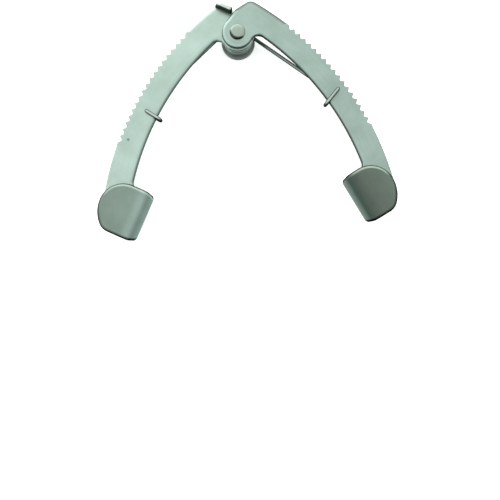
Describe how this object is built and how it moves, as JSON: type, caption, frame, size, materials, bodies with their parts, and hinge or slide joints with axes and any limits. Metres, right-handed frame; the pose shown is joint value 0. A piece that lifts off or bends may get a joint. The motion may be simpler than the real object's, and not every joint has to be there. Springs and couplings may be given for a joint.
{
  "type": "cheek retractor",
  "caption": "Self-retaining cheek retractor: toothed sheet-metal arms on a riveted spring hinge, ending in folded blades that hold the cheeks apart.",
  "frame": {"origin": "on the hinge axis, at the back face of the rivet's tail, so the instrument rests on z = 0", "axes": "+Z along the hinge axis towards the front, +X towards the right arm, -Y towards the blades"},
  "size_m": [0.1191, 0.0937, 0.0181],
  "materials": {
    "left_arm_steel": "satin",
    "right_arm_steel": "satin",
    "rivet_steel": "satin, turned",
    "spring_steel": "drawn wire"
  },
  "bodies": {
    "left_side": {"left_arm": "left_arm_steel", "hinge_rivet": "rivet_steel", "spring_sleeve": "rivet_steel", "rear_washer": "rivet_steel", "spring_coil": "spring_steel", "spring_left_leg": "spring_steel"},
    "right_side": {"right_arm": "right_arm_steel", "spring_right_leg": "spring_steel"}
  },
  "joints": [
    {"name": "hinge", "type": "hinge", "parent": "left_side", "child": "right_side", "pos_m": [0, 0, 0], "axis": [0, 0, -1], "range_deg": [0, 58], "stiffness_Nm_per_rad": 0.25, "springref_deg": -60.16}
  ]
}
